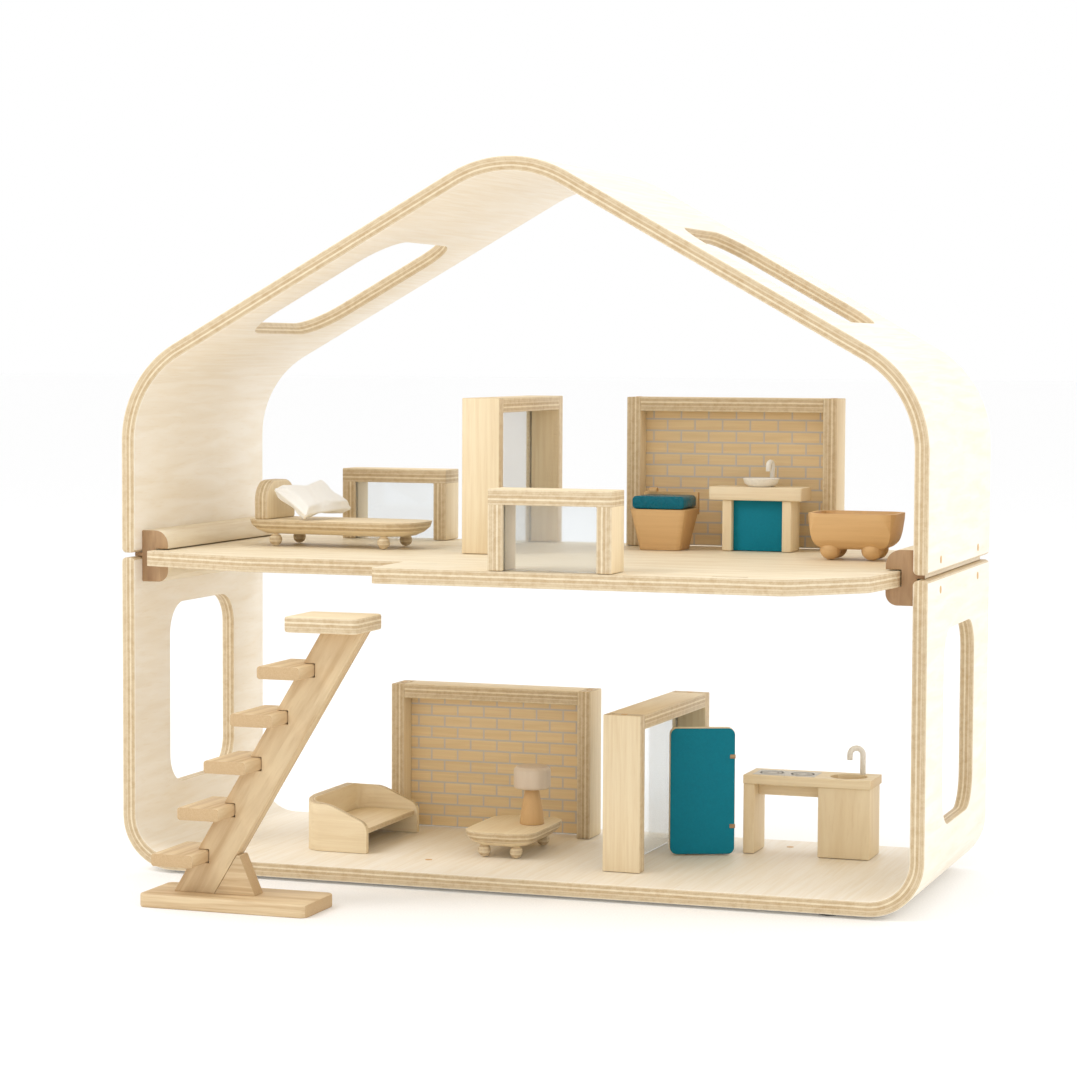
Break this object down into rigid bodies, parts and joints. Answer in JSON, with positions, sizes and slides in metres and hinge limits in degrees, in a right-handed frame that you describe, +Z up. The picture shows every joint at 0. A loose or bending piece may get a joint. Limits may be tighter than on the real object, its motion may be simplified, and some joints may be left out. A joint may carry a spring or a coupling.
{
  "type": "wooden dollhouse",
  "caption": "Open-fronted two-storey dollhouse of bent plywood with side windows, skylights, a balcony floor on grooved rails, a separate stair and loose wooden furniture",
  "frame": {"origin": "centre of the bounding box in plan, on the ground the feet and the stair stand on", "axes": "+X to the right seen from the open front, +Y toward the back of the house, +Z up"},
  "size_m": [0.51, 0.308, 0.4429],
  "materials": {
    "birch_ply": "clear matt lacquer on pale birch ply",
    "floor_ply": "clear matt lacquer",
    "rail_wood": "oiled",
    "frame_ply": "clear matt lacquer",
    "stair_ply": "clear matt lacquer",
    "brick_panel": "printed brick pattern",
    "moulded_wood": "bare fine-grained board",
    "teal_paint": "teal paint",
    "white_paint": "white paint",
    "shade_wood": "pale stain",
    "rubber": "matt",
    "fabric": "woven cotton",
    "acrylic": "clear, polished"
  },
  "bodies": {
    "house": {"base_shell": "birch_ply", "roof_shell": "birch_ply", "upper_floor": "floor_ply", "rail_left": "rail_wood", "rail_right": "rail_wood", "foot_front_left": "rubber", "foot_back_left": "rubber", "foot_front_right": "rubber", "foot_back_right": "rubber"},
    "stair": {"stair_base": "stair_ply", "stair_stringer": "stair_ply", "stair_wedge": "stair_ply", "stair_tread_1": "stair_ply", "stair_tread_2": "stair_ply", "stair_tread_3": "stair_ply", "stair_tread_4": "stair_ply", "stair_tread_5": "stair_ply", "stair_platform": "frame_ply"},
    "bath_wall": {"bath_wall_post_left": "frame_ply", "bath_wall_post_right": "frame_ply", "bath_wall_beam": "frame_ply", "bath_wall_panel": "brick_panel"},
    "living_wall": {"living_wall_post_left": "frame_ply", "living_wall_post_right": "frame_ply", "living_wall_beam": "frame_ply", "living_wall_panel": "brick_panel"},
    "bedroom_window": {"bedroom_window_frame": "frame_ply", "bedroom_window_pane": "acrylic"},
    "balcony_window": {"balcony_window_frame": "frame_ply", "balcony_window_pane": "acrylic"},
    "tall_window": {"tall_window_frame": "frame_ply", "tall_window_pane": "acrylic"},
    "door_partition": {"door_post_near": "frame_ply", "door_post_far": "frame_ply", "door_beam": "frame_ply", "door_pane": "acrylic"},
    "door": {"door_leaf": "teal_paint"},
    "bed": {"bed_board": "frame_ply", "bed_headboard": "frame_ply"},
    "cushion": {"pillow": "fabric"},
    "table": {"coffee_table": "frame_ply"},
    "lamp": {"lamp_base": "moulded_wood", "lamp_shade": "shade_wood"},
    "sofa": {"sofa_wrap": "frame_ply", "sofa_seat": "frame_ply"},
    "toilet": {"toilet_body": "moulded_wood"},
    "lid": {"toilet_lid": "teal_paint"},
    "vanity": {"vanity_top": "frame_ply", "vanity_leg_left": "frame_ply", "vanity_leg_right": "frame_ply", "vanity_panel": "teal_paint", "vanity_basin": "white_paint", "vanity_tap": "white_paint"},
    "tub": {"bathtub": "moulded_wood"},
    "kitchen": {"kitchen_top": "frame_ply", "kitchen_leg": "frame_ply", "kitchen_cabinet": "frame_ply", "kitchen_apron": "frame_ply", "kitchen_tap": "white_paint"}
  },
  "joints": [
    {"name": "bath_wall_lift", "type": "slide", "parent": "house", "child": "bath_wall", "axis": [0, 0, 1], "range_m": [0, 0.035]},
    {"name": "living_wall_lift", "type": "slide", "parent": "house", "child": "living_wall", "axis": [0, 0, 1], "range_m": [0, 0.06]},
    {"name": "bedroom_window_lift", "type": "slide", "parent": "house", "child": "bedroom_window", "axis": [0, 0, 1], "range_m": [0, 0.06]},
    {"name": "balcony_window_lift", "type": "slide", "parent": "house", "child": "balcony_window", "axis": [0, 0, 1], "range_m": [0, 0.06]},
    {"name": "tall_window_lift", "type": "slide", "parent": "house", "child": "tall_window", "axis": [0, 0, 1], "range_m": [0, 0.06]},
    {"name": "door_partition_lift", "type": "slide", "parent": "house", "child": "door_partition", "axis": [0, 0, 1], "range_m": [0, 0.06]},
    {"name": "bed_lift", "type": "slide", "parent": "house", "child": "bed", "axis": [0, 0, 1], "range_m": [0, 0.06]},
    {"name": "cushion_lift", "type": "slide", "parent": "bed", "child": "cushion", "axis": [0, 0, 1], "range_m": [0, 0.04]},
    {"name": "table_lift", "type": "slide", "parent": "house", "child": "table", "axis": [0, 0, 1], "range_m": [0, 0.06]},
    {"name": "lamp_lift", "type": "slide", "parent": "table", "child": "lamp", "axis": [0, 0, 1], "range_m": [0, 0.05]},
    {"name": "sofa_lift", "type": "slide", "parent": "house", "child": "sofa", "axis": [0, 0, 1], "range_m": [0, 0.06]},
    {"name": "toilet_lift", "type": "slide", "parent": "house", "child": "toilet", "axis": [0, 0, 1], "range_m": [0, 0.06]},
    {"name": "vanity_lift", "type": "slide", "parent": "house", "child": "vanity", "axis": [0, 0, 1], "range_m": [0, 0.06]},
    {"name": "tub_lift", "type": "slide", "parent": "house", "child": "tub", "axis": [0, 0, 1], "range_m": [0, 0.06]},
    {"name": "kitchen_lift", "type": "slide", "parent": "house", "child": "kitchen", "axis": [0, 0, 1], "range_m": [0, 0.06]},
    {"name": "toilet_lid_hinge", "type": "hinge", "parent": "toilet", "child": "lid", "pos_m": [0.0575, 0.112, 0.2364], "axis": [-1, 0, 0], "range_deg": [0, 75]},
    {"name": "door_pull", "type": "slide", "parent": "house", "child": "door", "axis": [0.6, -0.8, 0], "range_m": [0, 0.06]},
    {"name": "stair_slide", "type": "slide", "parent": "house", "child": "stair", "axis": [0, -1, 0], "range_m": [0, 0.1]}
  ]
}
